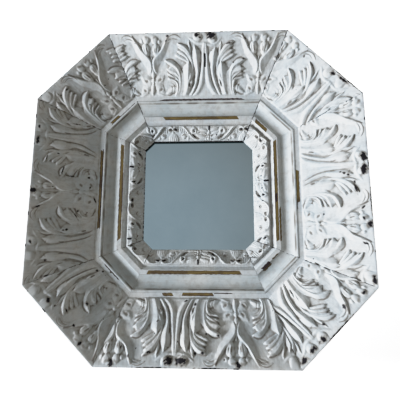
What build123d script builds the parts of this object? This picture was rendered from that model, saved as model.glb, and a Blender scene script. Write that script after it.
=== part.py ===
# Octagonal wall mirror: pressed-tin panels, cove and band mitred round a recessed plate,
# nailed over a pine carcass and hung on two D-rings.
#
# Frame: X to the right, Z up, Y into the wall. The wall is the plane y = 0 and the origin
# is at the middle of the frame on that plane, so the front of the rim is at -Y.
#
# Sections are drawn once for all eight sides, in two distances:
#   inset  how far inwards of the rim's outer edge, in the plane of the wall
#   depth  how far behind the front of the rim, towards the wall

import os
from math import copysign, cos, radians, sin, sqrt, tan

from build123d import *

# Outline of the rim
frame_width = 915.0
frame_height = 915.0
corner_cut = 197.5  # leg of the 45 degree cut at each corner
half_mitre = radians(22.5)

# Clearances
seat_gap = 0.3  # between a piece and the one it is nailed or screwed to
mitre_gap = 0.15  # from each cut end to the plane of the mitre
plate_gap = 0.5  # round the mirror plate in its rebate

# Pressed tin
tin = 0.6
bend_radius = 1.2
rim_flat = 3.0  # flat front edge of the rim
rim_skirt = 16.0  # folded down over the outside of the rim rail
panel_width = 158.0  # rim to outer fillet
panel_depth = 84.0
outer_fillet = 13.0  # nailing flange of the outer panel

# Cove moulding
bead_width = 8.0
bead_rise = 2.2  # above the outer fillet
cove_width = 41.0
cove_end_drop = 9.2  # inner edge of the cove, behind the outer fillet
cove_sag = 11.5
moulding_wall = 12.0  # wood left behind the inner ledge

# Inner band
inner_fillet = 13.0
inner_fillet_drop = 7.5  # behind the outer fillet
valley_width = 10.0
valley_drop = 12.0
crest_width = 7.0
crest_rise = 8.6
band_width = 40.0  # crest to sight edge
band_drop = 29.0
sight_lip = 3.0

# Pine and plywood
rim_rail_width = 19.0
rim_rail_depth = 38.0
base_rail_depth = 38.0
rib_thickness = 12.0
rib_foot = 30.0  # flat of the rib along the back, beside the base rail
rib_hollow = 15.0  # rise of the arc under the rib

# Mirror plate and what holds it
plate_lap = 10.3  # covered by the sight edge all round
plate_thickness = 3.0
backing_thickness = 5.0
clip_metal = 1.2
clip_width = 14.0
clip_foot = 18.0
clip_toe = 11.0
clip_screw_radius = 1.75
clip_screw_length = 16.0
clip_head_radius = 3.5
clip_head_height = 2.0
pilot_gap = 0.05  # round a screw in its hole

# Hangers
hanger_inset = 217.5  # from the side of the rim to the middle of a hanger
hanger_height = 110.0  # above the middle of the frame
strap_metal = 1.6
strap_width = 12.0
strap_length = 38.0
strap_corner_radius = 4.0
ring_wire_radius = 1.6
ring_inner_width = 22.0
ring_inner_height = 15.5
ring_corner_radius = 4.0  # at the middle of the wire
hinge_gap = 0.3
strap_screw_radius = 1.9
strap_screw_length = 19.0
strap_head_radius = 3.4
strap_screw_drops = (10.5, 29.0)  # from the hinge line down to each screw

# Bumpers
bumper_radius = 10.0
bumper_face_radius = 8.5
bumper_height = 6.0

# Distances that follow from the sizes above
fillet_start = panel_width
bead_start = fillet_start + outer_fillet
cove_start = bead_start + bead_width
cove_end = cove_start + cove_width
band_start = cove_end + inner_fillet
valley_inset = band_start + valley_width
crest_inset = valley_inset + crest_width
sight_inset = crest_inset + band_width
plate_inset = sight_inset - plate_lap

inner_fillet_depth = panel_depth + inner_fillet_drop
valley_depth = inner_fillet_depth + valley_drop
crest_depth = valley_depth - crest_rise
sight_depth = crest_depth + band_drop
plate_front = sight_depth + sight_lip + seat_gap

moulding_back = inner_fillet_depth + tin + seat_gap + moulding_wall
base_front = max(moulding_back + seat_gap, valley_depth + 2 * tin + seat_gap)
base_back = base_front + base_rail_depth
total_depth = base_back + bumper_height
front_y = -total_depth
back_y = front_y + base_back

hanger_x = frame_width / 2 - hanger_inset

# Each side: name, outward direction in degrees from +X towards +Z
side_angles = {
    "top": 90.0,
    "top_right": 45.0,
    "right": 0.0,
    "bottom_right": -45.0,
    "bottom": -90.0,
    "bottom_left": -135.0,
    "left": 180.0,
    "top_left": 135.0,
}
first_mitre = 67.5  # direction of the mitre at the right end of the top
side_turn = 45.0  # from one side to the next

# Where a screw, a head or a bumper is drawn from: its middle, towards or away from the wall
down_from_origin = (Align.CENTER, Align.CENTER, Align.MAX)
up_from_origin = (Align.CENTER, Align.CENTER, Align.MIN)


def side_middle(angle):
    """Middle of a side's outer edge (x, z)."""
    across = cos(radians(angle))
    up = sin(radians(angle))
    if angle % 180 == 90:
        return 0.0, up * frame_height / 2
    if angle % 180 == 0:
        return across * frame_width / 2, 0.0
    x = (frame_width - corner_cut) / 2
    z = (frame_height - corner_cut) / 2
    return copysign(x, across), copysign(z, up)


def side_length(angle):
    """Length of a side along its outer edge."""
    if angle % 180 == 90:
        return frame_width - 2 * corner_cut
    if angle % 180 == 0:
        return frame_height - 2 * corner_cut
    return corner_cut * sqrt(2)


def side_plane(angle):
    """Plane of a side's section: its x is the inset, its y the depth, its z the length."""
    x, z = side_middle(angle)
    across = cos(radians(angle))
    up = sin(radians(angle))
    return Plane(origin=(x, front_y, z), x_dir=(-across, 0, -up), z_dir=(up, 0, -across))


def mitred(section, angle):
    """A section run along one side and cut at both mitres."""
    half = side_length(angle) / 2
    bar = extrude(section, amount=half, both=True)
    for end in (1, -1):
        outwards = (sin(half_mitre), 0, end * cos(half_mitre))
        cut = Plane(origin=(0, 0, end * (half - mitre_gap / cos(half_mitre))), z_dir=outwards)
        bar = split(bar, bisect_by=cut, keep=Keep.BOTTOM)
    return side_plane(angle) * bar


def octagon(inset):
    """Outline of the frame, moved inwards, as a face in the plane of the wall."""
    x = frame_width / 2 - inset
    z = frame_height / 2 - inset
    cut = corner_cut - inset * (1 - tan(half_mitre))
    right = [(x - cut, 0, z), (x, 0, z - cut), (x, 0, cut - z), (x - cut, 0, -z)]
    left = [(-px, 0, -pz) for px, _, pz in right]
    return make_face(Polyline(*right, *left, close=True))


def octagon_plate(inset, depth, thickness):
    """Flat octagonal plate whose front face is at the given depth."""
    plate = extrude(octagon(inset), amount=thickness, dir=(0, 1, 0))
    return Pos(0, front_y + depth, 0) * plate


def sheet(points):
    """Section of a bent tin sheet whose front follows the points."""
    front = FilletPolyline(*points, radius=bend_radius)
    return make_face(offset(front, amount=tin, side=Side.LEFT, closed=True))


def panel_line(inset):
    """Depth of the outer panel's front face at an inset."""
    return panel_depth * (inset - rim_flat) / (panel_width - rim_flat)


def panel_under(inset):
    """Depth of what lies right under the outer panel at an inset."""
    slope = panel_depth / (panel_width - rim_flat)
    return panel_line(inset) + tin * sqrt(1 + slope * slope) + seat_gap


def outer_panel(angle):
    """Tin panel: skirt outside the rim rail, rim edge, slope and nailing flange."""
    points = [
        (0, rim_skirt),
        (0, 0),
        (rim_flat, 0),
        (fillet_start, panel_depth),
        (bead_start - seat_gap, panel_depth),
    ]
    return mitred(sheet(points), angle)


def cove_moulding(angle):
    """Wood moulding: ledge under the panel's flange, bead, cove, ledge under the band."""
    outer_ledge = panel_depth + tin + seat_gap
    inner_ledge = inner_fillet_depth + tin + seat_gap
    cove_low = panel_depth + cove_end_drop
    bead_top = panel_depth - bead_rise
    cove_middle = (
        (cove_start + cove_end) / 2,
        (panel_depth + cove_low) / 2 + cove_sag,
    )
    lines = [
        Line((fillet_start + tin, moulding_back), (fillet_start + tin, outer_ledge)),
        Line((fillet_start + tin, outer_ledge), (bead_start, outer_ledge)),
        Line((bead_start, outer_ledge), (bead_start, panel_depth)),
        ThreePointArc(
            (bead_start, panel_depth),
            ((bead_start + cove_start) / 2, bead_top),
            (cove_start, panel_depth),
        ),
        ThreePointArc((cove_start, panel_depth), cove_middle, (cove_end, cove_low)),
        Line((cove_end, cove_low), (cove_end + tin, inner_ledge)),
        Line((cove_end + tin, inner_ledge), (band_start - tin, inner_ledge)),
        Line((band_start - tin, inner_ledge), (band_start - tin, moulding_back)),
        Line((band_start - tin, moulding_back), (fillet_start + tin, moulding_back)),
    ]
    return mitred(make_face(lines), angle)


def inner_band(angle):
    """Tin band: nailing flange, valley, crest, slope to the sight edge and lip."""
    points = [
        (cove_end + seat_gap, inner_fillet_depth),
        (band_start, inner_fillet_depth),
        (valley_inset, valley_depth),
        (crest_inset, crest_depth),
        (sight_inset, sight_depth),
        (sight_inset, sight_depth + sight_lip),
    ]
    return mitred(sheet(points), angle)


def rim_rail(angle):
    """Pine rail inside the folded rim, bevelled to the slope of the panel."""
    outer = tin + seat_gap
    inner = outer + rim_rail_width
    section = Polyline(
        (outer, outer),
        (rim_flat, outer),
        (inner, panel_under(inner)),
        (inner, rim_rail_depth),
        (outer, rim_rail_depth),
        close=True,
    )
    return mitred(make_face(section), angle)


def band_under(inset):
    """Depth of the base rail's bevel under the inner band at an inset."""
    slope = band_drop / band_width
    under = tin * sqrt(1 + slope * slope) + seat_gap
    return crest_depth + slope * (inset - crest_inset) + under


def base_rail(angle):
    """Pine rail under moulding and band, with the rebate for the plate at its back."""
    slope = band_drop / band_width
    bevel_start = crest_inset + (base_front - band_under(crest_inset)) / slope
    tongue = sight_inset - tin - seat_gap
    rebate = plate_inset - plate_gap
    section = Polyline(
        (fillet_start + tin, base_front),
        (bevel_start, base_front),
        (tongue, band_under(tongue)),
        (tongue, plate_front - seat_gap),
        (rebate, plate_front - seat_gap),
        (rebate, base_back),
        (fillet_start + tin, base_back),
        close=True,
    )
    rail = mitred(make_face(section), angle)
    for place in clip_places():
        rail -= screw_hole(place, clip_screw_radius, clip_screw_length)
    for place in strap_screw_places():
        rail -= screw_hole(place, strap_screw_radius, strap_screw_length)
    return rail


def screw_hole(place, radius, length):
    """Pilot hole from the back of the base rail."""
    x, z = place
    hole = Cylinder(radius + pilot_gap, length + seat_gap, align=down_from_origin)
    return Location((x, back_y, z), (-90, 0, 0)) * hole


def corner_rib(angle):
    """Plywood rib in the plane of a mitre, between the rim rails and the base rail."""
    across = cos(radians(angle))
    up = sin(radians(angle))
    corner_x = frame_width / 2 - (corner_cut if abs(up) > abs(across) else 0)
    corner_z = frame_height / 2 - (corner_cut if abs(across) > abs(up) else 0)
    plane = Plane(
        origin=(copysign(corner_x, across), front_y, copysign(corner_z, up)),
        x_dir=(-across, 0, -up),
        z_dir=(up, 0, -across),
    )
    rail_inner = tin + seat_gap + rim_rail_width + seat_gap
    base_outer = fillet_start + tin - seat_gap
    foot = base_outer - rib_foot
    past = base_outer + rib_thickness  # run past the base rail, then trimmed to it
    hollow = ((rail_inner + foot) / 2, (rim_rail_depth + base_back) / 2 - rib_hollow)
    outline = [
        (0, rim_rail_depth),
        (0, panel_under(0)),
        (base_outer, panel_under(base_outer)),
        (past, base_front),
        (past, base_back),
        (foot, base_back),
    ]
    along_mitre = [(inset / cos(half_mitre), depth) for inset, depth in outline]
    arc_middle = (hollow[0] / cos(half_mitre), hollow[1])
    arc_end = (rail_inner / cos(half_mitre), rim_rail_depth)
    edges = Polyline(*along_mitre).edges()
    edges += [ThreePointArc(along_mitre[-1], arc_middle, arc_end), Line(arc_end, along_mitre[0])]
    rib = plane * extrude(make_face(edges), amount=rib_thickness / 2, both=True)
    rib &= octagon_plate(rail_inner, -rib_thickness, total_depth + rib_thickness)
    return rib - octagon_plate(base_outer, -rib_thickness, total_depth + rib_thickness)


def clip_places():
    """Screw of each mirror clip (x, z), at the middle of each side of the rebate."""
    places = []
    for angle in side_angles.values():
        x, z = side_middle(angle)
        inset = plate_inset - plate_gap - clip_foot / 2
        places.append((x - inset * cos(radians(angle)), z - inset * sin(radians(angle))))
    return places


def mirror_clips():
    """Offset clips: foot on the base rail, toe on the backing board."""
    rebate = plate_inset - plate_gap
    toe_depth = plate_front + plate_thickness + backing_thickness + 2 * seat_gap
    clips = []
    for angle in side_angles.values():
        bend = rebate + seat_gap
        section = Polyline(
            (rebate - clip_foot, base_back),
            (bend, base_back),
            (bend, toe_depth),
            (bend + clip_toe, toe_depth),
            (bend + clip_toe, toe_depth + clip_metal),
            (bend + clip_metal, toe_depth + clip_metal),
            (bend + clip_metal, base_back + clip_metal),
            (rebate - clip_foot, base_back + clip_metal),
            close=True,
        )
        clip = extrude(make_face(section), amount=clip_width / 2, both=True)
        hole = Location((rebate - clip_foot / 2, base_back, 0), (90, 0, 0))
        clip -= hole * Cylinder(clip_screw_radius + pilot_gap, clip_width)
        clips.append(side_plane(angle) * clip)
    return clips


def clip_screws():
    """Pan-head screws of the mirror clips."""
    screws = []
    for x, z in clip_places():
        shank = Cylinder(clip_screw_radius, clip_screw_length + clip_metal, align=down_from_origin)
        head = Cylinder(clip_head_radius, clip_head_height, align=up_from_origin)
        screws.append(Location((x, back_y + clip_metal, z), (-90, 0, 0)) * (shank + head))
    return screws


def hinge_offset():
    """Hinge line of a D-ring, behind the back of the base rail."""
    return strap_metal + hinge_gap + ring_wire_radius


def strap_screw_places():
    """Screws of the two hanger straps (x, z)."""
    heights = [hanger_height - drop for drop in strap_screw_drops]
    return [(x, z) for x in (-hanger_x, hanger_x) for z in heights]


def hanger_strap(side):
    """Steel strap curled round the bar of its D-ring, with two countersunk holes."""
    knuckle = hinge_offset()
    leg = Pos(strap_metal / 2, -strap_length / 2) * Rectangle(strap_metal, strap_length)
    curl = Pos(knuckle, 0) * Circle(knuckle) + leg
    curl -= Pos(knuckle, 0) * Circle(ring_wire_radius + hinge_gap)
    section_plane = Plane(
        origin=(side * hanger_x, back_y, hanger_height), x_dir=(0, 1, 0), z_dir=(1, 0, 0)
    )
    strap = section_plane * extrude(curl, amount=strap_width / 2, both=True)
    low_edges = strap.edges().filter_by(Axis.Y).group_by(Axis.Z)[0]
    strap = fillet(low_edges, strap_corner_radius)
    for x, z in strap_screw_places():
        if x * side > 0:
            strap -= countersink(x, z, pilot_gap)
    return strap


def countersink(x, z, gap):
    """Countersunk head of a strap screw, or with a gap the hole that it lies in."""
    cone = Cone(
        strap_screw_radius + gap, strap_head_radius + gap, strap_metal, align=up_from_origin
    )
    return Location((x, back_y, z), (-90, 0, 0)) * cone


def hanger_screws():
    """Countersunk screws of the two hanger straps."""
    screws = []
    for x, z in strap_screw_places():
        shank = Cylinder(strap_screw_radius, strap_screw_length, align=down_from_origin)
        screws.append(Location((x, back_y, z), (-90, 0, 0)) * shank + countersink(x, z, 0))
    return screws


def hanger_ring(side):
    """D-ring of round wire, hanging from its bar."""
    width = ring_inner_width + 2 * ring_wire_radius
    height = ring_inner_height + 2 * ring_wire_radius
    outline = Pos(0, -height / 2) * Rectangle(width, height)
    upper = outline.vertices().group_by(Axis.Y)[-1]
    outline = fillet(upper, ring_corner_radius)
    lower = outline.vertices().group_by(Axis.Y)[0]
    outline = fillet(lower, width / 2 - ring_wire_radius)
    place = Plane(
        origin=(side * hanger_x, back_y + hinge_offset(), hanger_height),
        x_dir=(1, 0, 0),
        z_dir=(0, -1, 0),
    )
    path = (place * outline).wires()[0]
    start = Plane(origin=path @ 0, z_dir=path % 0)
    return sweep(start * Circle(ring_wire_radius), path=path)


def wall_bumpers():
    """Rubber bumpers on the backs of the four slanting base rails."""
    bumpers = []
    inset = (fillet_start + plate_inset) / 2
    for angle in side_angles.values():
        if angle % 90 == 0:
            continue
        x, z = side_middle(angle)
        bumper = Cone(bumper_radius, bumper_face_radius, bumper_height, align=up_from_origin)
        place = (x - inset * cos(radians(angle)), back_y, z - inset * sin(radians(angle)))
        bumpers.append(Location(place, (-90, 0, 0)) * bumper)
    return bumpers


def save(name, *solids):
    """One file for each sub-part."""
    shape = solids[0] if len(solids) == 1 else Compound(children=list(solids))
    export_step(shape, f"parts/{name}.step")


def main():
    os.makedirs("parts", exist_ok=True)
    for name, angle in side_angles.items():
        save(f"outer_panel_{name}", outer_panel(angle))
        save(f"cove_moulding_{name}", cove_moulding(angle))
        save(f"inner_band_{name}", inner_band(angle))
        save(f"rim_rail_{name}", rim_rail(angle))
        save(f"base_rail_{name}", base_rail(angle))
    for number in range(len(side_angles)):
        save(f"corner_rib_{number + 1}", corner_rib(first_mitre - side_turn * number))
    save("mirror_plate", octagon_plate(plate_inset, plate_front, plate_thickness))
    backing_depth = plate_front + plate_thickness + seat_gap
    save("backing_board", octagon_plate(plate_inset, backing_depth, backing_thickness))
    save("mirror_clips", *mirror_clips())
    save("clip_screws", *clip_screws())
    for name, side in (("left", -1), ("right", 1)):
        save(f"hanger_strap_{name}", hanger_strap(side))
        save(f"hanger_ring_{name}", hanger_ring(side))
    save("hanger_screws", *hanger_screws())
    save("wall_bumpers", *wall_bumpers())


main()
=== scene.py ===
# Octagonal wall mirror in a frame of old pressed tin, painted white and worn.
# Lengths in the dictionaries are in millimetres, angles in degrees.
import math

import bmesh
import bpy
import numpy as np
from mathutils import Matrix, Vector


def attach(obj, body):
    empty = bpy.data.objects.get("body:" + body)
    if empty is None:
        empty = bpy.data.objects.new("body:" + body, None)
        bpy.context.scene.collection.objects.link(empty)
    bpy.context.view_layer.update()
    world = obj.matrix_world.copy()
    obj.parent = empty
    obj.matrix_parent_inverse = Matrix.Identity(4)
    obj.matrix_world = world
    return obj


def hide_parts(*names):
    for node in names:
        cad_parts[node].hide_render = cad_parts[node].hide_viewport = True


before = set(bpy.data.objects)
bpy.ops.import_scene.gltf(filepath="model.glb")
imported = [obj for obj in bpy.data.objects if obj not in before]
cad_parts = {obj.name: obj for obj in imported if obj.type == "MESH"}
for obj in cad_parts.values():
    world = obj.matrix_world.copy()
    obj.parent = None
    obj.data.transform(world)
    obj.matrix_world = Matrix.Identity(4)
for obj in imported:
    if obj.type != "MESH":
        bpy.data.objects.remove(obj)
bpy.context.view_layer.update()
print("frame loaded:", len(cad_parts), "nodes")

outline = {
    "width": 915.0,
    "cornerCut": 197.5,
    "front": -149.0,  # y of the front of the rim
    "mitreGap": 0.15,  # from a cut end to the plane of the mitre
    "tin": 0.6,
    "bendRadius": 1.2,
}
sideAngles = {
    "top": 90,
    "top_right": 45,
    "right": 0,
    "bottom_right": -45,
    "bottom": -90,
    "bottom_left": -135,
    "left": 180,
    "top_left": 135,
}
mitreSlope = math.tan(math.radians(22.5))


def sideDistance(name):
    # from the middle of the frame to the outer edge of a side
    if sideAngles[name] % 90 == 0:
        return outline["width"] / 2
    return (outline["width"] - outline["cornerCut"]) / math.sqrt(2)


def sideHalf(name):
    # half the length of a side's outer edge
    if sideAngles[name] % 90 == 0:
        return outline["width"] / 2 - outline["cornerCut"]
    return outline["cornerCut"] / math.sqrt(2)


def sideLimit(name, inset):
    # how far from its middle a side is cut, at an inset from the rim
    return sideHalf(name) - inset * mitreSlope - outline["mitreGap"] / math.cos(math.radians(22.5))


def sidePoint(name, along, inset, depth):
    # place in metres of a point on a side
    angle = math.radians(sideAngles[name])
    outwards = np.array([math.cos(angle), 0, math.sin(angle)])
    onwards = np.array([math.sin(angle), 0, -math.cos(angle)])
    along, inset, depth = np.broadcast_arrays(along, inset, depth)
    place = (sideDistance(name) - inset)[..., None] * outwards + along[..., None] * onwards
    place[..., 1] += outline["front"] + depth
    return place * 0.001


# Drawing in relief

def smoothLine(points, count):
    # a curve through all the points
    p = np.array(points, float)
    p = np.vstack([2 * p[0] - p[1], p, 2 * p[-1] - p[-2]])
    t = np.linspace(0, len(p) - 3 - 1e-6, count)
    i = t.astype(int)
    f = (t - i)[:, None]
    a, b, c, d = p[i], p[i + 1], p[i + 2], p[i + 3]
    bend = 2 * a - 5 * b + 4 * c - d
    return 0.5 * (2 * b + (c - a) * f + bend * f**2 + (3 * b - a - 3 * c + d) * f**3)


def ramp(low, high, x):
    # smooth step from 0 to 1
    t = np.clip((x - low) / (high - low), 0, 1)
    return t * t * (3 - 2 * t)


def soften(field, reach):
    # blur by a bell of that reach, in grid cells
    k = np.arange(-int(3 * reach) - 1, int(3 * reach) + 2)
    bell = np.exp(-0.5 * (k / reach) ** 2)
    bell /= bell.sum()
    for axis in (0, 1):
        pads = [(len(k) // 2,) * 2 if a == axis else (0, 0) for a in (0, 1)]
        padded = np.pad(field, pads, mode="edge")
        field = np.apply_along_axis(lambda row: np.convolve(row, bell, "valid"), axis, padded)
    return field


def waves(a, b, pitch, seed, count=9):
    # smooth random waves, about 1 high
    draw = np.random.default_rng(seed)
    total = 0
    for _ in range(count):
        turn, phase = draw.uniform(0, 2 * math.pi, 2)
        length = pitch * draw.uniform(0.6, 1.7)
        total = total + np.sin((a * math.cos(turn) + b * math.sin(turn)) * 2 * math.pi / length + phase)
    return total / math.sqrt(count / 2)


class Relief:
    # heights over a flat sheet, u across and v down from its outer edge
    pit = -9.0  # lower than anything drawn

    def __init__(self, width, height, step, vStart=0.0):
        self.step = step
        self.vStart = vStart
        self.uLine = np.arange(0, width + step / 2, step)
        self.vLine = np.arange(0, height + step / 2, step) + vStart
        self.u, self.v = np.meshgrid(self.uLine, self.vLine)
        self.field = np.zeros_like(self.u)
        self.dirtAndShade = np.zeros_like(self.u)
        self.black = np.zeros_like(self.u)

    def near(self, points, reach):
        # the part of the sheet round a line, and where each place in it lies along and across it
        line = smoothLine(points, 12 * len(points))
        low = line[:, :2].min(0) - reach
        high = line[:, :2].max(0) + reach
        rows = slice(*np.searchsorted(self.vLine, (low[1], high[1])))
        cols = slice(*np.searchsorted(self.uLine, (low[0], high[0])))
        place = np.stack([self.u[rows, cols], self.v[rows, cols]], -1)[..., None, :]
        start, run = line[:-1, :2], np.diff(line[:, :2], axis=0)
        part = np.clip(((place - start) * run).sum(-1) / (run**2).sum(-1), 0, 1)
        away = place - start - part[..., None] * run
        far = np.hypot(away[..., 0], away[..., 1])
        best = far.argmin(-1)[..., None]
        t = best[..., 0] + np.take_along_axis(part, best, -1)[..., 0]
        turn = run[..., 0] * away[..., 1] - run[..., 1] * away[..., 0]
        hand = np.sign(np.take_along_axis(turn, best, -1)[..., 0])
        wide, tall = (np.interp(t, np.arange(len(line)), line[:, c]) for c in (2, 3))
        far = np.take_along_axis(far, best, -1)[..., 0]
        return rows, cols, far, hand, wide, tall

    def stroke(self, points, left=(1, 2), right=(1, 2), edge=0.0, soft=1.0, add=False):
        # a ridge, leaf lobe or groove along (u, v, half width, height) points; left and right say how far
        # each flank reaches and how it curves, edge how much of the height is left at its outer edge
        reach = max(p[2] for p in points) * max(left[0], right[0]) + 2
        rows, cols, far, hand, wide, tall = self.near(points, reach)
        scale = np.where(hand > 0, right[0], left[0])
        power = np.where(hand > 0, right[1], left[1])
        q = far / np.maximum(wide * scale, 0.05)
        inner = np.clip(q, 0, 1)
        bulged, hollow = 1 - inner ** np.abs(power), (1 - inner) ** np.abs(power)
        value = tall * (edge + (1 - edge) * np.where(power > 0, bulged, hollow))
        cover = ramp(0, soft, (1 - q) * wide * scale) * (q < 1)
        old = self.field[rows, cols]
        if add:
            new = old + value * cover
        elif edge > 0:
            new = old + (value - old) * cover
        else:
            new = np.maximum(old, np.where(q < 1, value, self.pit))
        self.field[rows, cols] = new

    def dome(self, u, v, radius, tall, stretch=1.0):
        # a ball or berry
        far = np.hypot(self.u - u, (self.v - v) / stretch)
        q = np.clip(far / radius, 0, 1)
        self.field = np.maximum(self.field, np.where(q < 1, tall * np.sqrt(1 - q**2), self.pit))

    def darkLine(self, points, layer):
        # a dark line along (u, v, half width, strength) points, on the layer given: painted shade with
        # dirt, or black marks
        rows, cols, far, hand, wide, strength = self.near(points, max(p[2] for p in points) + 3)
        new = strength * ramp(1.5, 0.3, far / wide)
        layer[rows, cols] = np.maximum(layer[rows, cols], new)

    def hollows(self, reach):
        # how deep each place lies under what is round it
        return soften(self.field, reach / self.step) - self.field

    def read(self, values, u, v):
        # values of a grid of this sheet at any places
        x = np.clip(u / self.step, 0, len(self.uLine) - 1.001)
        y = np.clip((v - self.vStart) / self.step, 0, len(self.vLine) - 1.001)
        i, j = x.astype(int), y.astype(int)
        fx, fy = x - i, y - j
        upper = values[j, i] * (1 - fx) + values[j, i + 1] * fx
        lower = values[j + 1, i] * (1 - fx) + values[j + 1, i + 1] * fx
        return upper * (1 - fy) + lower * fy


acanthus = {
    "period": 318.0,  # the stamp repeats after this length
    "axes": {  # where on each side a stem stands, from the side's middle
        "top": 22, "left": 155, "right": -65, "bottom": 56,
        "top_right": 53, "top_left": -137, "bottom_left": 86, "bottom_right": 66,
    },
    "ground": 1.2,  # height of the plain ground over the sheet
    "rimRise": 0.6,  # steepest rise of the relief from the rim, so that nothing passes the rim
}


def acanthusCell():
    # half a repeat: stem at u = 0, flower axis at u = 159, rim at v = 0
    cell = Relief(159, 158, 0.6)
    s = cell.stroke
    step = dict(left=(1, 1.0), right=(0.28, 1.2), edge=0.3, soft=1.6)  # rises to its lower edge and drops
    # calyx petal: crest from the rim down to the bud, with a long slope to the field beside it
    s([(106, 8, 4, 4), (112, 18, 9, 7), (120, 31, 13, 8.6), (128.5, 44, 16, 9.6), (143, 57, 20, 10),
       (153, 69, 21, 10), (156, 82, 19, 9.6), (154, 95, 12, 7)], right=(1, -1.05), left=(0.25, 1.3))
    s([(112, 17, 2.2, 4.5), (102, 11.5, 2.4, 4.5), (90, 9.5, 2.2, 3.5), (73, 14, 1.5, 2)])
    s([(110, 24, 2, 4.5), (100, 18.5, 2, 3.5), (86, 15.5, 1.6, 2)])
    # stem, with the plain triangle between the two stems
    s([(0, 110, 1, 2), (0, 125, 6, 2), (0, 140, 14, 2), (0, 157, 32, 2)], edge=1)
    s([(2, 30, 5, 5), (3, 50, 8, 6.5), (4, 70, 9, 7), (5.6, 88, 10, 7.5), (7.4, 104, 11, 8),
       (10, 120, 11, 8), (16, 134, 11, 7.5), (26, 147, 10, 6.5), (37, 157, 8, 5)], left=(0.8, 2),
      right=(1, 1.3))
    # collar of two sepals under the pearl, faint
    s([(4, 31, 3, 3.2), (16, 31.5, 4, 3.8), (28, 28, 4.4, 3.8), (38, 22, 3.6, 3.2), (47, 16, 1.5, 2)],
      left=(1, 1.9), right=(1, 1.9))
    # second stem, swelling to a pointed lobe
    s([(50, 158, 6, 5), (41, 146, 6, 7), (33, 133, 6, 8), (27, 120, 6, 8.5), (22.6, 104, 6, 9),
       (21.4, 92, 7.5, 9.5), (22.6, 80, 13, 10.5), (23.5, 68, 17, 11.5), (24, 57, 16.5, 11.5),
       (26, 47, 10, 10.5), (29, 38, 1.5, 8)], left=(0.85, 1.25), right=(1, 1.2))
    s([(17, 72, 2, 8), (19.5, 80, 3, 9.5), (19, 87, 1.5, 8)])
    s([(14, 76, 1.4, -2.5), (16, 84, 1.4, -2.5)], add=True)
    # small leaf between the lobe and the upper leaf
    s([(46, 23, 1.6, 3), (45, 31, 4, 4.6), (42.5, 42, 4.5, 5.4), (41, 54, 3, 5.4)], left=(1, 1.4),
      right=(0.6, 1.4))
    # upper leaf: blades that step down into its bowl, and the rib round its outer edge
    s([(49, 77, 4, 6), (60, 69, 10, 7.4), (73, 63, 11, 9), (82, 59, 7, 9.4), (86, 57, 2, 9)], **step)
    s([(47, 74, 4, 6.4), (55, 63, 11, 8.4), (67, 54, 12, 9.8), (77, 49.5, 7, 10), (81, 47.5, 2, 9.6)],
      **step)
    s([(45, 68, 4, 6.6), (51, 56, 10, 8.8), (61, 46, 11, 10), (73, 40, 6, 10.2), (77.5, 37.5, 2, 9.8)],
      **step)
    s([(36, 90, 3, 5), (37, 78, 7, 6), (41, 65, 9, 7.2), (47.5, 52, 9, 9.2), (57, 41, 9.5, 11),
       (67, 34, 8, 11), (79, 28, 2.6, 10)], left=(0.7, 1.5), right=(0.85, 1.7))
    # turned leaf in the middle, with small leaflets on its crest, and the trough beside it
    s([(75, 158, 9, 3), (70.5, 142, 10, 4.4), (69, 122, 10, 5), (71, 104, 9, 5.4), (75, 93, 5, 5)],
      edge=0.95, soft=3)
    s([(66, 158, 12, 6.5), (59, 142, 15, 9), (55, 128, 17, 10.5), (52.5, 114, 19, 11.5), (51, 101, 21, 12),
       (50, 90, 20, 12), (49, 81, 13, 11.5), (48, 73, 2, 9.5)], left=(0.85, 1.2), right=(1, 1.2))
    s([(42, 99, 1.4, 9), (44, 108, 3, 11.4), (50, 119, 1.6, 12)], edge=0.85, soft=1.6)
    s([(40, 114, 1.4, 8), (43, 123, 3.4, 10.8), (50, 134, 1.6, 10.5)], edge=0.85, soft=1.6)
    s([(46, 122, 2.2, -3), (47.5, 127, 2.2, -3)], add=True)
    # lower leaf: curl, blades stepping down into the bowl, and the hood round its outer edge
    s([(84, 140, 6, 5), (94, 143, 12, 5.4), (104, 147, 9, 6), (114, 150, 3, 5.6)], left=(1, 1.3),
      right=(0.5, 1.3))
    s([(94, 151, 1.6, -1.5), (91.5, 139, 2, -1.8), (95, 128, 2, -1.8), (103, 122.5, 2, -1.6),
       (112, 121.5, 1.2, -1)], add=True)
    s([(101, 151, 1.6, -1.6), (98.5, 141, 2, -2), (102, 132, 2, -1.8), (110, 129, 1.4, -1.2)], add=True)
    s([(91, 158, 4, 6), (85.5, 146, 4.5, 7.4), (84, 134, 5, 8.2), (86.5, 122, 6, 9), (94, 115.5, 6, 9.4),
       (112, 112, 3, 9.6)], left=(0.8, 1.2), right=(0.7, 1.3))
    s([(82, 126, 3, 6), (83.5, 116, 7, 7.4), (92, 107.5, 11, 9), (107, 103.5, 9, 9.8),
       (113, 102, 2.4, 9.4)], **step)
    s([(78, 122, 3, 6), (81, 108, 8, 8), (91, 97, 16, 10.2), (106, 92.5, 14, 11), (110, 91.5, 8, 10.8),
       (114.5, 90, 2.4, 10)], **step)
    s([(86, 158, 6, 4.6), (79.5, 144, 9, 5.8), (77, 131, 10, 6.6), (76, 118, 9.6, 7.4), (76.5, 106, 9, 8.6),
       (79.5, 94, 8.6, 10), (86.5, 83, 9.4, 11), (98, 75.5, 10, 11.4), (108, 71.5, 7, 11.2),
       (116.5, 68.5, 2.6, 10)], left=(0.9, 1.3), right=(0.75, 1.7))
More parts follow.
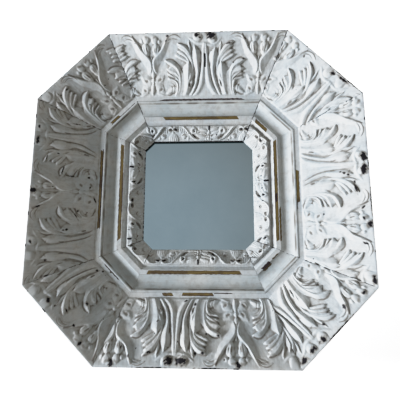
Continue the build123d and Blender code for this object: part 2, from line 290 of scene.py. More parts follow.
    # beads and bells between the petals, bud and rosette on the flower axis
    s([(159, 60, 2.2, 4.5), (159, 96, 2.6, 6)])
    cell.dome(144.5, 49, 8, 8.5, stretch=1.4)
    cell.dome(143.5, 39, 10.5, 9.5, stretch=1.15)
    cell.dome(146.5, 18.5, 9.2, 8.5)
    cell.dome(156, 8, 6.5, 4)
    cell.dome(133.5, 22, 4.6, 5.5)
    s([(138.5, 31, 1.5, -3), (141, 42, 2, -4), (143, 50, 1.4, -2.5)], add=True)
    s([(148, 32, 1.3, -2.5), (147.5, 44, 1.6, -3)], add=True)
    s([(147, 12, 1.4, -2), (150, 18, 1.8, -2.5)], add=True)
    cell.dome(159, 103, 5.5, 6.5, stretch=1.6)
    s([(128, 108, 5, 2.6), (139, 115, 12, 5), (150, 120, 8, 4.4)])
    s([(126, 146, 5, 2.6), (136, 138, 12, 5), (149, 127, 8, 4.4)])
    s([(159, 122, 4, 5), (159, 136, 7.5, 6.5), (159, 152, 3, 4.5)], left=(1, 1.9), right=(1, 1.9))
    # rosette pits, with painted shade and dirt in them
    for u, v in ((139.5, 116), (134.5, 139)):
        s([(u - 2.5, v - 1.5, 4.6, -2.4), (u + 2.5, v + 1.5, 4.6, -2.4)], add=True)
        cell.darkLine([(u - 3.5, v - 1, 2.4, 1), (u, v + 0.4, 3.8, 1.3), (u + 3.5, v + 2, 2.4, 1)], cell.dirtAndShade)
    cell.dome(159, 117, 5.5, 7.5)
    s([(143, 148, 2.8, 3.6), (131, 152, 3.4, 4), (119, 156.5, 2, 3)])
    # pearl beside the stem
    cell.dome(21, 15, 12.5, 9)
    # painted shade lines, with dirt, in the folds and under the blades
    for line in ([(72, 14, 0.8, 1), (84, 7.5, 1.2, 1.6), (98, 8, 1.2, 1.5), (112, 16, 0.8, 1)],
                 [(80, 18, 0.8, 1), (95, 15, 1.2, 1.2), (110, 21, 0.8, 1)],
                 [(107, 10, 2.4, 1.6), (113, 20, 2, 1.3), (117, 30, 1, 1)],
                 [(114, 65.5, 1.2, 1.6), (104, 63.5, 1.4, 1.5), (93, 66, 1.4, 1.2), (84, 73, 1.2, 1)],
                 [(112, 97, 1.2, 1.6), (103, 101, 1.6, 1.7), (92, 108, 1, 1.2)],
                 [(113, 107, 1.2, 1.3), (98, 112, 1, 1), (86, 120, 1.2, 1.3)],
                 [(79, 26, 1.2, 1.3), (70, 28, 1.4, 1.2), (61, 31, 1, 1)],
                 [(78, 43, 1, 1), (66, 49, 1.2, 1.1), (54, 60, 1, 0.8)],
                 [(80, 53, 1, 1), (68, 59, 1.2, 1), (58, 65, 1, 0.8)],
                 [(45, 124, 2, 1.9), (48, 131, 1.8, 1.9)],
                 [(47, 27, 1.4, 1), (41, 35, 1.6, 1), (36, 46, 1, 0.8)],
                 [(16, 73, 1.2, 1.2), (14, 83, 1.2, 1)], [(24, 46, 1, 0.8), (15, 44, 1, 0.8)],
                 [(94, 131, 1.6, 1.1), (101, 134, 2, 1.1)],
                 [(96, 150, 1.6, 1.2), (106, 154, 2, 1.4), (114, 154, 1.4, 1)],
                 [(148, 46, 2.4, 1.2), (146, 38, 1.8, 1.2)], [(144, 12, 3, 0.9), (150, 14, 3, 0.9)]):
        cell.darkLine(line, cell.dirtAndShade)
    cell.field += 0.16 * waves(cell.u, cell.v, 13, 5) + 0.05 * waves(cell.u, cell.v, 5, 6)
    cell.field = soften(cell.field, 1.4) + acanthus["ground"]
    cell.field *= ramp(158, 152, cell.v)
    roof = np.maximum(0.01, acanthus["rimRise"] * (cell.v - 3.2))
    cell.field = np.where(cell.field > 0, roof * np.tanh(cell.field / roof), cell.field)
    # painted shade: darker where a place lies below what is round it, plus the lines of painted shade and
    # dirt
    broad, narrow = ramp(0.3, 3.6, cell.hollows(7)), ramp(0.1, 1.4, cell.hollows(2.2))
    cell.hollow = 0.85 * broad + 0.4 * narrow + cell.dirtAndShade
    return cell


scroll = {
    "period": 218.0,
    "axes": {  # where on each side an arch stands, from the side's middle
        "top": -78, "left": -28.5, "right": 71, "bottom": -109,
        "top_right": 10, "top_left": -30, "bottom_left": 25, "bottom_right": -15,
    },
}


def scrollCell():
    # half a repeat: arch at u = 0, flower at u = 109
    cell = Relief(109, 57, 0.5, vStart=233)
    s = cell.stroke
    # arch with its cusp, running on as a stem under the volute to the flower
    s([(0, 257, 2.4, 4.5), (5, 252, 3, 5), (15, 248.6, 3.2, 5.2), (28, 250, 3.4, 5.2), (39, 257, 3.6, 5.4),
       (48, 267, 3.8, 5.4), (58, 277, 3.8, 5), (72, 284, 3.4, 4.4), (95, 286, 2.8, 3.6)])
    # eyes beside the axis
    cell.dome(9, 258.5, 6.4, 4.4)
    s([(6, 258.5, 3.4, -4.4), (11, 259, 3.4, -4.4)], add=True)
    # shell with its ribs
    cell.dome(1, 286, 15, 5.6, stretch=1.25)
    for lean in (3, 9.5, 16):
        s([(0.5 * lean, 268, 1.2, -1), (0.8 * lean, 277, 1.7, -1.8), (lean, 286, 1.6, -1.6)], add=True)
    cell.dome(0, 266, 3.4, 3.4)
    # fan and knob inside the arch
    for u in (20, 25.5, 31, 36.5):
        s([(u, 256 + 0.02 * (u - 24) ** 2, 1.6, 2.6), (u + 1, 266, 1.9, 2.8)])
    cell.dome(31, 275, 7.5, 4.6)
    s([(26, 276, 2, -1.4), (30, 271, 2.6, -2.2), (36, 273, 2, -1.4)], add=True)
    cell.dome(45, 281, 4.4, 2.8)
    # volute
    for turn in range(0, 360, 24):
        a = math.radians(turn)
        cell.dome(64.5 + 6.2 * math.cos(a), 260 + 6.2 * math.sin(a), 3.2, 4.6 + 0.8 * turn / 360)
    # leaf that turns over the stem, with the hollow under it
    s([(70, 266, 4, 4.6), (77, 271, 6.5, 4.8), (87, 275, 7, 4.8), (97, 277, 4.5, 4.2)], left=(1, 1.3),
      right=(1, 1.8))
    s([(60, 268, 3, -1.6), (67, 276, 4.4, -2.6), (77, 281, 4, -2)], add=True)
    s([(76, 262, 3, 3.4), (86, 265, 5, 3.8), (97, 267, 3, 3.4)])
    s([(80, 255, 3, 3.6), (90, 257, 5, 4.2), (101, 260, 3, 3.8)])
    # flower
    for u, v, size in ((101, 274, 5.4), (109, 267, 4.4), (109, 281, 4.8), (101.5, 283, 3.2)):
        cell.dome(u, v, size, 4.4)
    s([(98.5, 274, 2.2, -2), (103, 272.5, 2.2, -2)], add=True)
    cell.dome(109, 274, 3, 5.4)
    s([(109, 249, 3.4, 4.4), (109, 258, 4, 4.6), (109, 263, 1.5, 4)])
    # painted shade with dirt in the eyes, round the knob, under the leaf, in the volute and round the
    # flower
    for line in ([(5.5, 258.5, 3.4, 2.2), (11.5, 259, 3.4, 2.2)],
                 [(25, 274, 1.6, 0.9), (31, 270, 2, 1.2), (37, 273, 1.6, 0.9)],
                 [(61, 270, 2, 1), (68, 277, 3.4, 1.3), (78, 281, 2.4, 1)],
                 [(64, 257, 2, 1.2), (66.5, 261, 1.6, 1.2)],
                 [(97, 273, 1.6, 1.1), (103, 271.5, 1.8, 1.1)], [(109, 268, 2, 1.2), (109, 271, 2, 1.2)]):
        cell.darkLine(line, cell.dirtAndShade)
    # black in the eyes, the volute, over and in the flower, under the leaf and round the knobs
    for line in ([(6.5, 258, 2.5, 1.4), (10, 258.6, 2.5, 1.4)],
                 [(65, 260, 2.2, 1.3), (66.5, 261.5, 2, 1.3)],
                 [(108.5, 249, 2.2, 1.3), (109, 255.5, 3.2, 1.3)],
                 [(61, 270.5, 1.2, 1), (67, 276.5, 1.6, 1.1)],
                 [(30, 273.5, 1.2, 0.9), (33, 274, 1.2, 0.9)], [(98, 274.5, 1, 0.8), (101, 274, 1, 0.8)],
                 [(46, 284, 1.2, 0.9), (48, 286, 1.2, 0.9)]):
        cell.darkLine(line, cell.black)
    # ground outside the arches, rising from the crest, fluted near it
    arch = np.interp(cell.u, [0, 5, 15, 28, 39, 48, 58, 72, 95, 109],
                     [257, 252, 248.6, 250, 257, 267, 277, 284, 286, 286])
    ground = ramp(246, 259, cell.v) * ramp(2, -2, cell.v - arch) * (1 + 0.8 * ramp(276, 262, cell.v))
    flutes = np.sin(cell.u * 2 * math.pi / 4.6) * ramp(244, 248, cell.v) * ramp(258, 252, cell.v)
    cell.field = 0.85 * cell.field + 3.4 * ground + 0.6 * flutes - 2 * np.minimum(cell.black, 1)
    cell.field = soften(cell.field, 1.4)
    cell.field = np.maximum(cell.field, 0) * ramp(242, 248, cell.v) * ramp(289.6, 285, cell.v)
    # painted shade: darker where a place lies below what is round it, plus the lines of painted shade and
    # dirt
    broad, narrow = ramp(-0.2, 2.4, cell.hollows(4)), ramp(0, 0.9, cell.hollows(1.4))
    cell.hollow = 0.6 * broad + 0.3 * narrow + cell.dirtAndShade
    return cell


def bentSection(points, steps):
    # rows (inset, depth, facing) down a bent sheet's front, its bends rounded, with a step for each run
    p = np.array(points, float)
    run = np.diff(p, axis=0)
    length = np.hypot(run[:, 0], run[:, 1])
    along = run / length[:, None]
    facing = np.stack([along[:, 1], -along[:, 0]], 1)
    trim = np.zeros(len(p))
    for k in range(1, len(p) - 1):
        bend = math.acos(np.clip(along[k - 1] @ along[k], -1, 1))
        trim[k] = outline["bendRadius"] * math.tan(bend / 2)
    rows = []
    for k in range(len(run)):
        a, b = p[k] + along[k] * trim[k], p[k + 1] - along[k] * trim[k + 1]
        count = max(1, round(np.hypot(*(b - a)) / steps[k]))
        for t in np.linspace(0, 1, count + 1):
            rows.append([*(a + (b - a) * t), *facing[k]])
        if k + 1 < len(run):
            # round the bend between this run and the next
            radius = outline["bendRadius"] * np.sign(np.cross(along[k], along[k + 1]))
            for t in (0.33, 0.67):
                mix = facing[k] * (1 - t) + facing[k + 1] * t
                mix /= np.hypot(*mix)
                rows.append([*(b + (mix - facing[k]) * radius), *mix])
    return np.array(rows)


def addRun(mesh, along, inset):
    # UV map in metres along and across a length, for brush marks and streaks
    layer = mesh.uv_layers.new(name="run")
    corner = np.zeros(len(mesh.loops), np.int32)
    mesh.loops.foreach_get("vertex_index", corner)
    layer.data.foreach_set("uv", (np.stack([along, inset], 1) * 0.001)[corner].astype(np.float32).ravel())


def addLayer(mesh, key, values):
    layer = mesh.attributes.new(key, "FLOAT", "POINT")
    layer.data.foreach_set("value", values.astype(np.float32))


def sheetMesh(name, rows, side, columns, height, lean, layers):
    # closed tin shell along one side: front with the relief, back, and cut edges between them
    w = np.linspace(-1, 1, columns)[None, :]
    inset, depth, faceInset, faceDepth = (rows[:, k][:, None] for k in range(4))
    shape = (len(rows), columns)
    grids = []
    for back in (0.0, outline["tin"]):
        i = inset + height * lean[:, :1] - back * faceInset
        d = depth + height * lean[:, 1:] - back * faceDepth
        grids.append(sidePoint(side, w * sideLimit(side, i), i, d).reshape(-1, 3))
    points = np.vstack(grids)
    number = np.arange(shape[0] * shape[1]).reshape(shape)
    behind = number + number.size

    def quads(a, b, c, d):
        return np.stack([a, b, c, d], -1).reshape(-1, 4)

    front = quads(number[:-1, :-1], number[1:, :-1], number[1:, 1:], number[:-1, 1:])
    rear = quads(behind[:-1, :-1], behind[:-1, 1:], behind[1:, 1:], behind[1:, :-1])
    edges = [
        quads(number[0, :-1], number[0, 1:], behind[0, 1:], behind[0, :-1]),
        quads(number[-1, 1:], number[-1, :-1], behind[-1, :-1], behind[-1, 1:]),
        quads(number[1:, 0], number[:-1, 0], behind[:-1, 0], behind[1:, 0]),
        quads(number[:-1, -1], number[1:, -1], behind[1:, -1], behind[:-1, -1]),
    ]
    faces = np.vstack([front, *edges, rear])
    mesh = bpy.data.meshes.new(name)
    mesh.vertices.add(len(points))
    mesh.vertices.foreach_set("co", points.astype(np.float32).ravel())
    mesh.loops.add(faces.size)
    mesh.loops.foreach_set("vertex_index", faces.astype(np.int32).ravel())
    mesh.polygons.add(len(faces))
    mesh.polygons.foreach_set("loop_start", np.arange(0, faces.size, 4, dtype=np.int32))
    material = np.zeros(len(faces), np.int32)
    material[-len(rear):] = 1
    mesh.polygons.foreach_set("material_index", material)
    mesh.update(calc_edges=True)
    mesh.validate()
    mesh.shade_smooth()
    mesh.set_sharp_from_angle(angle=math.radians(80))
    addRun(mesh, np.tile((w * sideLimit(side, inset)).ravel(), 2), np.tile((inset + 0 * w).ravel(), 2))
    for key, values in layers.items():
        addLayer(mesh, key, np.tile(np.broadcast_to(values, shape).ravel(), 2))
    for item in (tinPaint, rawTin):
        mesh.materials.append(item)
    piece = bpy.data.objects.new(name, mesh)
    bpy.context.collection.objects.link(piece)
    return piece


# Materials

def toLinear(code):
    # sRGB hex to linear colour
    parts = [int(code[k:k + 2], 16) / 255 for k in (1, 3, 5)]
    return tuple(p / 12.92 if p <= 0.04045 else ((p + 0.055) / 1.055) ** 2.4 for p in parts) + (1.0,)


def addNode(tree, kind, inputs=None, **settings):
    # one node with its settings, input values and links
    node = tree.nodes.new(kind)
    for name, value in settings.items():
        setattr(node, name, value)
    for name, value in (inputs or {}).items():
        if isinstance(value, bpy.types.NodeSocket):
            tree.links.new(value, node.inputs[name])
        else:
            node.inputs[name].default_value = value
    return node


def newMaterial(name):
    material = bpy.data.materials.new(name)
    material.use_nodes = True
    tree = material.node_tree
    tree.nodes.clear()
    return material, tree


paint = {
    # the grime colours also paint shade in the hollows; the bare metal colour also paints the lip's shadow
    # round the opening; the dark gilt also paints the shadow of the fillets' steps
    "grime_and_shade": "#8a7f70",
    "deepGrimeAndShade": "#4c443a",
    "bareMetalAndShadow": "#16131a",
    "gilt": "#7d6b3d",
    "giltPale": "#a08a57",
    "giltDarkAndShade": "#37282c",
    "mottle": 70.0,  # size of the paler and cooler patches
    "patch": 16.0,  # size of the greyer patches
    "speck": 8.0,  # size of the breaks in grime and chips
    "streak": (55.0, 1.6),  # length and width of the streaks in the worn strips
}


def paintedMaterial(name, white, cool, brush, brushDepth):
    # old oil paint, brushed on: chalky white with a low sheen, grime and painted shade in the hollows,
    # chipped to dark metal on high spots and worn to bronze-coloured primer along the fillets, with painted
    # shadow at the fillets' steps and the lip
    material, tree = newMaterial(name)
    place = addNode(tree, "ShaderNodeTexCoord").outputs["Object"]
    run = addNode(tree, "ShaderNodeUVMap", uv_map="run").outputs[0]
    masks = {}
    for key in ("grime_and_shade", "bare_and_shadow", "gilt", "tarnish_and_shade"):
        masks[key] = addNode(tree, "ShaderNodeAttribute", attribute_name=key).outputs["Fac"]
    noise = {}
    for key, detail in (("mottle", 4.0), ("patch", 4.0), ("speck", 5.0)):
        inputs = {"Vector": place, "Scale": 1000 / paint[key], "Detail": detail, "Roughness": 0.6}
        noise[key] = addNode(tree, "ShaderNodeTexNoise", inputs).outputs["Fac"]
    for key, size in (("brush", brush), ("streak", paint["streak"])):
        scale = (1000 / size[0], 1000 / size[1], 1)
        drawn = addNode(tree, "ShaderNodeMapping", {"Vector": run, "Scale": scale}).outputs[0]
        inputs = {"Vector": drawn, "Scale": 1.0, "Detail": 3.0}
        noise[key] = addNode(tree, "ShaderNodeTexNoise", inputs).outputs["Fac"]
    soilAndShade = addNode(tree, "ShaderNodeMath", {0: noise["speck"], 1: 0.5, 2: masks["grime_and_shade"]},
                   operation="MULTIPLY_ADD").outputs[0]
    # layers over a ground colour: what decides where each lies, the values it comes in between, its
    # strength and colour; the coat has patches, brush lines, and grime with painted shade, the primer is
    # streaked and tarnished, and dark as painted shade on the fillets' steps
    stacks = {
        "coat": (white, [(noise["mottle"], 0.35, 0.65, 1, cool),
                         (noise["patch"], 0.48, 0.72, 0.3, paint["grime_and_shade"]),
                         (noise["brush"], 0.5, 0.8, 0.22, paint["grime_and_shade"]),
                         (soilAndShade, 0.35, 1.15, 0.55, paint["grime_and_shade"]),
                         (soilAndShade, 1.0, 1.6, 0.55, paint["deepGrimeAndShade"])]),
        "primer": (paint["giltDarkAndShade"], [(noise["streak"], 0.34, 0.5, 1, paint["gilt"]),
                                       (noise["streak"], 0.56, 0.7, 0.5, paint["giltPale"]),
                                       (noise["mottle"], 0.52, 0.6, 0.45, paint["giltDarkAndShade"]),
                                       (masks["tarnish_and_shade"], 0, 1, 1, paint["giltDarkAndShade"])]),
    }
    mixed = {"metal_and_shadow": toLinear(paint["bareMetalAndShadow"])}
    for key, (ground, layers) in stacks.items():
        mixed[key] = toLinear(ground)
        for source, low, high, most, code in layers:
            share = addNode(tree, "ShaderNodeMapRange", {0: source, 1: low, 2: high, 4: most}).outputs[0]
            mixed[key] = addNode(tree, "ShaderNodeMix", {0: share, 6: mixed[key], 7: toLinear(code)},
                                 data_type="RGBA").outputs[2]
    # primer, then metal, show where the coat is worn through, with ragged edges; the metal colour also
    # paints the lip's shadow
    colour = mixed["coat"]
    shares = []
    for key, spread, under in (("gilt", 0.12, "primer"), ("bare_and_shadow", 0.8, "metal_and_shadow")):
        edge = 0.5 + 0.5 * spread
        ragged = addNode(tree, "ShaderNodeMath", {0: noise["speck"], 1: spread, 2: masks[key]},
                         operation="MULTIPLY_ADD").outputs[0]
        inputs = {0: ragged, 1: edge - 0.04, 2: edge + 0.04}
        shares.append(addNode(tree, "ShaderNodeMapRange", inputs).outputs[0])
        colour = addNode(tree, "ShaderNodeMix", {0: shares[-1], 6: colour, 7: mixed[under]},
                         data_type="RGBA").outputs[2]
    worn = addNode(tree, "ShaderNodeMath", {0: shares[0], 1: shares[1]}, operation="MAXIMUM").outputs[0]
    # the coat stands above what is worn through it
    coat = addNode(tree, "ShaderNodeMath", {0: worn, 1: -0.5, 2: noise["brush"]},
                   operation="MULTIPLY_ADD").outputs[0]
    inputs = {"Height": coat, "Strength": 0.6, "Distance": brushDepth}
    bump = addNode(tree, "ShaderNodeBump", inputs).outputs[0]
    inputs = {0: noise["brush"], 1: 0.3, 2: 0.7, 3: 0.58, 4: 0.74}
    rough = addNode(tree, "ShaderNodeMapRange", inputs).outputs[0]
    inputs = {"Base Color": colour, "Roughness": rough, "Normal": bump, "Specular IOR Level": 0.35}
    shader = addNode(tree, "ShaderNodeBsdfPrincipled", inputs)
    addNode(tree, "ShaderNodeOutputMaterial", {"Surface": shader.outputs[0]})
    return material


def plainMaterial(name, colours, size, roughness, depth, metallic=0.0, stretch=(1, 1, 1), turn=0.0,
                  detail=4.0):
    # a surface of two colours mixed by a noise of the given size, with the same noise as bump
    material, tree = newMaterial(name)
    place = addNode(tree, "ShaderNodeTexCoord").outputs["Object"]
    inputs = {"Vector": place, "Rotation": (0, math.radians(turn), 0)}
    turned = addNode(tree, "ShaderNodeMapping", inputs).outputs[0]
    drawn = addNode(tree, "ShaderNodeMapping", {"Vector": turned, "Scale": stretch}).outputs[0]
    inputs = {"Vector": drawn, "Scale": 1000 / size, "Detail": detail, "Roughness": 0.6}
    noise = addNode(tree, "ShaderNodeTexNoise", inputs).outputs["Fac"]
    share = addNode(tree, "ShaderNodeMapRange", {0: noise, 1: 0.32, 2: 0.68}).outputs[0]
    colour = addNode(tree, "ShaderNodeMix", {0: share, 6: toLinear(colours[0]), 7: toLinear(colours[1])},
                     data_type="RGBA").outputs[2]
    inputs = {0: noise, 1: 0.3, 2: 0.7, 3: roughness[0], 4: roughness[1]}
    rough = addNode(tree, "ShaderNodeMapRange", inputs).outputs[0]
    bump = addNode(tree, "ShaderNodeBump", {"Height": noise, "Strength": 0.5, "Distance": depth}).outputs[0]
    shader = addNode(tree, "ShaderNodeBsdfPrincipled",
                     {"Base Color": colour, "Roughness": rough, "Normal": bump, "Metallic": metallic})
    addNode(tree, "ShaderNodeOutputMaterial", {"Surface": shader.outputs[0]})
    return material


# brush marks run down the panels and along the moulding, twice as coarse as real so that they show
tinPaint = paintedMaterial("white_oil_paint_on_pressed_tin", "#e4e7e7", "#d0d9de", (3.5, 60.0), 0.0004)
woodPaint = paintedMaterial("white_oil_paint_on_pine_moulding", "#dbdfdf", "#c4ced2", (80.0, 3.0), 0.0003)
# tinplate, never painted: dull grey with rust bloom
rawTin = plainMaterial("rust_bloomed_tinplate", ("#77736c", "#5a463a"), 45, (0.35, 0.6), 0.0002,
                       metallic=0.7)
# silvered glass: clear and even, a little grey with age
silver = plainMaterial("silvered_glass", ("#c3cdd0", "#b9c5c9"), 160, (0.015, 0.03), 0.0, metallic=1.0)


def darkenEdge(material, edges, colour):
    # painted shadow and reflection of the lip's dark underside: the mirror darkened beyond these distances,
    # each in its own direction
    tree = material.node_tree
    shader = next(node for node in tree.nodes if node.type == "BSDF_PRINCIPLED")
    place = addNode(tree, "ShaderNodeTexCoord").outputs["Object"]
    total = 0.0
    for direction, distance in edges:
        reach = addNode(tree, "ShaderNodeVectorMath", {0: place, 1: direction},
                        operation="DOT_PRODUCT").outputs["Value"]
        inputs = {0: reach, 1: (distance - 0.5) * 0.001, 2: (distance + 0.5) * 0.001}
        share = addNode(tree, "ShaderNodeMapRange", inputs).outputs[0]
        total = addNode(tree, "ShaderNodeMath", {0: total, 1: share}, operation="MAXIMUM").outputs[0]
    old = shader.inputs["Base Color"].links[0].from_socket
    mixed = addNode(tree, "ShaderNodeMix", {0: total, 6: old, 7: toLinear(colour)},
                    data_type="RGBA").outputs[2]
    tree.links.new(mixed, shader.inputs["Base Color"])


diagonal = math.sqrt(0.5)
# dark band along the top and top-left edges of the mirror, painted shadow and reflection of the lip
lipShadowOnMirror = {
    "colour": "#22393a",
    "edges": [((0, 0, 1), 163.0), ((-diagonal, 0, diagonal), 213.5)],  # direction, distance from the middle
}
darkenEdge(silver, lipShadowOnMirror["edges"], lipShadowOnMirror["colour"])
# hardboard: pressed brown fibre, smooth
hardboard = plainMaterial("pressed_hardboard", ("#6e4f35", "#5c412c"), 1.6, (0.5, 0.65), 0.0002)
# bright zinc over steel: bluish grey, faintly mottled
zinc = plainMaterial("zinc_plated_steel", ("#a8adb0", "#8d9396"), 5, (0.25, 0.4), 0.0001, metallic=1.0)
# moulded rubber: dull black
rubber = plainMaterial("moulded_rubber", ("#1d1d1e", "#28282a"), 3, (0.7, 0.85), 0.0001)


# Panels

panelShape = {
    "points": [(0, 16), (0, 0), (3, 0), (158, 84), (170.7, 84)],
    "steps": [1.8, 1.2, 1.82, 0.75],
    "slope": (3, 158),  # insets between which the relief lies
    "column": 1.5,  # at the rim
    "flatten": 0.12,  # share of relief lost in soft patches
    "paintedShade": {"top_left": 0.3},  # painted shade all over a side that the light reaches less
    "height": 0.9,  # share of the drawn relief that was struck
    "weak": {"left": 0.42, "bottom_left": 0.48, "top_left": 0.5},  # the same where the blow was weak
    "warp": 1.3,  # how far the stamp wandered
    "lean": (0.4765, -0.8792),  # square to the slope
}
bandShape = {
    "points": [(220.3, 91.5), (233, 91.5), (243, 103.5), (250, 94.9), (290, 123.9), (290, 126.9)],
    "steps": [0.75, 1.1, 1.1, 1.1, 1.0],
    "crest": 233,  # insets of the fillet's end, of the valley behind it and of the opening
    "low": 243,
    "mouth": 290,
    "column": 1.25,
    "warp": 0.8,
    "tilt": 0.587,  # how far the relief leans to stand square to the slope
    "paintedShade": 0.35,  # painted shade in the valley, and the sides where it is darker
    "valley": {"right": 0.7, "top_right": 0.75, "bottom_right": 0.5, "top": 0.5},
    "lip": {"top": 0.9, "left": 0.5, "top_left": 0.6},  # painted shadow of the lip, a dark line round the opening
}
# worn and dark strips on the fillets: finish, from and to along the side, low and high inset,
# and how far each end slants; the dark strips near insets 166 to 172 are painted shadow of the step at the
# fillet's edge, the others darker primer
strips = {
    "top": [("dark", -105, 130, 165.8, 170.7, -20, 12), ("gilt", -110, 118, 219, 230.5, 9, 6)],
    "right": [("gilt", -62, 28, 162, 171.4, -4, 6), ("dark", 28, 52, 169, 171.4, 0, 0),
              ("gilt", -162, 138, 223, 232.6, 8, 6), ("gilt", 40, 140, 215, 221.5, 10, 4),
              ("dark", 0, 25, 225, 231, 6, 6)],
    "bottom": [("gilt", -46, 45, 162, 171, 5, -3), ("gilt", 68, 96, 161.5, 170, 4, 6),
               ("dark", -100, -46, 168.6, 171, 6, 0), ("gilt", -125, 148, 221, 231.5, 7, -6)],
    "left": [("gilt", -108, 132, 162, 169, 5, -5), ("dark", -108, 132, 168.4, 171.6, 3, 3),
             ("gilt", -142, 152, 221, 231, 8, -5), ("dark", -60, 60, 229.4, 232, 3, 3)],
    "top_left": [("gilt", -38, -4, 162, 169, 4, 4), ("dark", -38, 60, 169, 171, 0, 0)],
    "top_right": [("gilt", -37, 10, 222, 232.6, 5, 5)],
    "bottom_left": [("dark", -20, 40, 168.6, 171.6, 4, 4), ("gilt", 9, 15, 165, 168.6, 1, 1)],
    "bottom_right": [("gilt", -38, -15, 218, 222, 3, 3), ("gilt", -5, 25, 211, 218, 4, 4),
                     ("dark", -5, 25, 218, 225, 4, 4)],
}


def wornStrips(side, along, inset):
    # share of primer that shows, and how dark it is: tarnished, darker at its rims, and painted shadow in
    # the dark strips at the steps
    gilt = np.zeros(np.broadcast_shapes(along.shape, inset.shape))
    tarnish_and_shade = np.zeros_like(gilt)
    for finish, start, end, low, high, startSlant, endSlant in strips[side]:
        part = (inset - low) / (high - low)
        edge = inset + 0.25 * waves(along, inset, 9, 11)
        fromStart, toEnd = along - start - startSlant * part, end + endSlant * part - along
        lengthwise = ramp(-1, 1, fromStart) * ramp(-1, 1, toEnd)
        across = ramp(-0.4, 0.4, edge - low) * ramp(-0.4, 0.4, high - edge)
        # the dark finish: primer dark all over, painted shadow where it lies on the step at the fillet's
        # edge
        if finish == "dark":
            tarnish_and_shade = np.maximum(tarnish_and_shade, lengthwise * across)
        else:
            rims = ramp(1.5, 0.5, np.minimum(edge - low, high - edge))
            tarnish_and_shade = np.where(across * lengthwise > 0.3, np.maximum(tarnish_and_shade, 0.85 * rims), tarnish_and_shade)
        gilt = np.maximum(gilt, lengthwise * across)
    return gilt, tarnish_and_shade


def fold(along, axis, period):
    # distance along from the nearest axis of a mirrored pattern
    u = np.mod(along - axis, period)
    return np.minimum(u, period - u)


# knocks and chips on the panels: place along the side and inset, half sizes, turn in degrees
chips = {
    "top": [(0, 9, 6.5, 4.4, 0), (39, 11, 11, 6.4, 10), (134, 67, 4, 1.6, 0), (105, 75, 2, 2, 0),
            (92, 30, 11, 1.3, -4), (-26, 128, 1.6, 3.6, 10), (-87, 10, 2.6, 2.2, 0), (-92, 22, 1.8, 4, 30),
            (139, 20, 3, 2.2, 0), (6, 15, 3, 1.6, 20)],
    "right": [(-80, 11, 11, 6, -10), (-46, 12, 12, 6, 8), (99, 7.5, 6, 5.5, 0), (85, 19, 3.6, 3, 0),
              (38, 2, 27, 1.4, 1), (5, 31.5, 9, 2.4, -8), (-13, 34, 4, 2, 0), (-36, 46, 2.6, 2.4, 0),
              (-40, 55, 2.2, 4, 20), (-44, 62, 2, 2, 0), (55, 19, 5, 1.8, 50), (149, 20, 2.4, 4, 35),
              (242, 8, 9, 4, -4)],
    "bottom": [(38, 15, 13, 6, 5), (70, 16, 8, 7, 0), (-104, 10, 6.5, 5, 0), (214, 11, 5.5, 6, 0),
               (-15, 32, 3.5, 2, 0), (121, 32, 6, 1.8, -10), (-55, 69, 4, 1.6, 10), (-25, 74, 2, 2, 0),
               (172, 24, 2, 2.8, 0), (194, 42, 1.8, 2.6, 0), (-70, 20, 2, 2, 0), (3, 32, 3, 3, 0),
               (6, 140, 3, 3.4, 0), (32, 148, 4, 1.6, -20), (110, 2, 30, 1.2, 0), (-40, 2, 30, 1.2, 0)],
    "left": [(-6, 8.5, 7, 6, 0), (138, 10, 9, 3, 4), (177, 11.5, 4, 2, 0), (-147, 12, 5, 2, -8),
             (-51, 20, 2.4, 5, -35), (-114, 81.5, 2, 2, 0), (-112, 88.5, 2.4, 2.2, 0), (-59, 112, 3, 2, 0),
             (-71, 107, 9, 1.2, -30), (55, 71, 12, 1.3, 14), (90, 33.5, 10, 1.1, 8), (255, 11, 1.4, 7, 0),
             (42, 90, 1.2, 10, 6), (-23, 152, 7, 1.8, -15), (13, 139, 4, 1.4, 10), (42, 135, 2, 2.6, 0),
             (209, 122, 2, 2, 0), (-195, 46, 2.4, 3, 0), (-237, 50, 1.5, 5, -15), (200, 97, 1.4, 8, 0)],
    "top_right": [(41, 12, 5, 4, 0), (76, 8, 14, 2.4, 0), (104, 1.5, 21, 2, 0), (60, 1.5, 19, 1.5, 0),
                  (-53, 23.5, 2.2, 2.4, 0), (88, 133, 2.4, 3, 0)],
    "top_left": [(-84, 33, 2.2, 2, 0), (-63, 32, 3.4, 1.6, 0)],
    "bottom_left": [(-76, 14, 3.6, 4.6, 0), (63, 22, 6, 3.4, 20), (-31, 27, 3, 2, 0), (11, 36, 5, 1.5, 8),
                    (-11, 77, 4.8, 2.6, 20), (41, 25, 2, 1.8, 0), (29, 153, 2, 2, 0), (42, 144, 3, 2.4, 0)],
    "bottom_right": [(5, 1.5, 36, 2, 0), (51, 13, 9, 4, 5), (86, 13, 9, 4, 0), (-45, 24, 3, 6, 30),
                     (21, 32, 2.6, 2.2, 0), (119, 12, 8, 5, 0), (-108, 16, 5, 3, 0)],
}
# dirt in the mitres: strength at the start and at the end of each side
seams = {
    "top": (0.85, 0.95), "top_right": (0.95, 0.4), "right": (0.4, 0.7), "bottom_right": (0.7, 0.55),
    "bottom": (0.55, 0.45), "bottom_left": (0.45, 0.6), "left": (0.6, 0.65), "top_left": (0.65, 0.85),
}


def chipped(side, along, inset):
    total = np.zeros(np.broadcast_shapes(along.shape, inset.shape))
    halo = np.zeros_like(total)
    ragged = 0.22 * waves(along, inset, 9, 21) + 0.12 * waves(along, inset, 4, 22)
    for s, v, length, width, turn in chips[side]:
        c, d = math.cos(math.radians(turn)), math.sin(math.radians(turn))
        x, y = along - s, inset - v
        far = np.hypot((x * c + y * d) / length, (y * c - x * d) / width)
        total = np.maximum(total, ramp(1.3, 0.7, far + ragged))
        halo = np.maximum(halo, ramp(2.0, 1.1, far + ragged))
    return total, halo


